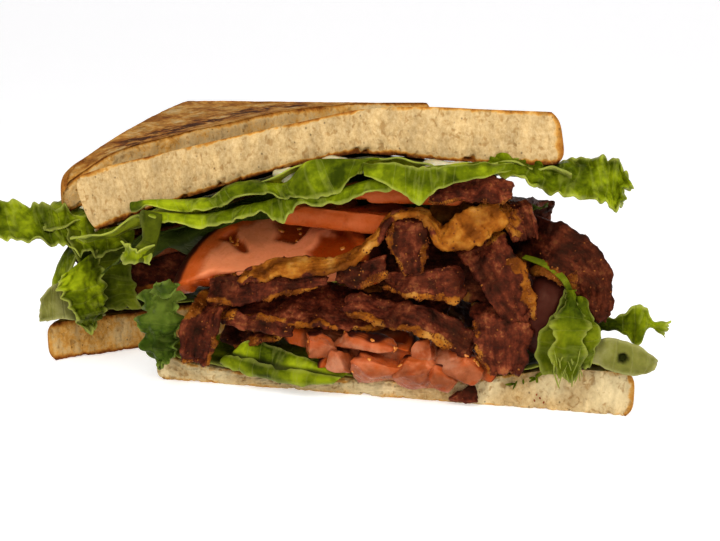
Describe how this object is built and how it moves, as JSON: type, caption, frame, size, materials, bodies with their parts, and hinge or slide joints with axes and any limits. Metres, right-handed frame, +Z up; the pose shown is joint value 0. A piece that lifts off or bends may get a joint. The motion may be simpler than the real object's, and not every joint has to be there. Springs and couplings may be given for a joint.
{
  "type": "blt sandwich",
  "caption": "Bacon, lettuce and tomato sandwich on toasted white bread with mayonnaise, cut corner to corner, its two halves leaning open behind each other.",
  "frame": {"origin": "bottom centre of the whole's bounding box, on the surface that both halves stand on", "axes": "+Z up, +X to the right along the front half's cut face, -Y the way that cut face looks"},
  "size_m": [0.2534, 0.1462, 0.0949],
  "materials": {
    "toasted_bread": "white bread, toasted golden brown with darker patches, porous cut crumb",
    "mayonnaise": "off-white, glossy",
    "tomato": "wet red flesh with pale core, dark red skin",
    "bacon": "fried, dark red-brown lean with golden fat bands, greasy",
    "lettuce": "yellow-green, paler ribs and darker ruffled edges, waxy"
  },
  "bodies": {
    "root": {"front_bread_bottom": "toasted_bread", "front_bread_top": "toasted_bread", "front_mayo": "mayonnaise", "front_tomato_1": "tomato", "front_tomato_2": "tomato", "front_tomato_3": "tomato", "front_tomato_4": "tomato", "front_tomato_5": "tomato", "front_tomato_6": "tomato", "front_tomato_7": "tomato", "front_bacon_1": "bacon", "front_bacon_2": "bacon", "front_bacon_3": "bacon", "front_bacon_4": "bacon", "front_bacon_5": "bacon", "front_bacon_6": "bacon", "front_bacon_7": "bacon", "front_bacon_8": "bacon", "front_bacon_9": "bacon", "front_bacon_10": "bacon", "front_bacon_11": "bacon", "front_bacon_12": "bacon", "front_bacon_13": "bacon", "front_bacon_14": "bacon", "front_bacon_15": "bacon", "front_bacon_16": "bacon", "front_bacon_17": "bacon", "front_bacon_18": "bacon", "front_bacon_19": "bacon", "front_bacon_scrap": "bacon", "front_lettuce_top": "lettuce", "front_lettuce_second": "lettuce", "front_lettuce_fold": "lettuce", "front_lettuce_flap": "lettuce", "front_lettuce_frill": "lettuce", "front_lettuce_bottom": "lettuce", "front_lettuce_bottom_fold": "lettuce", "front_lettuce_corner": "lettuce", "front_lettuce_cup": "lettuce", "front_lettuce_rib": "lettuce", "front_lettuce_tip": "lettuce", "rear_bread_bottom": "toasted_bread", "rear_bread_top": "toasted_bread", "rear_mayo": "mayonnaise", "rear_tomato_1": "tomato", "rear_tomato_2": "tomato", "rear_bacon_1": "bacon", "rear_bacon_2": "bacon", "rear_bacon_3": "bacon", "rear_bacon_4": "bacon", "rear_bacon_5": "bacon", "rear_bacon_6": "bacon", "rear_lettuce_top": "lettuce", "rear_lettuce_second": "lettuce", "rear_lettuce_tongue": "lettuce", "rear_lettuce_curl": "lettuce", "rear_lettuce_rib": "lettuce", "rear_lettuce_bottom": "lettuce"}
  },
  "joints": []
}
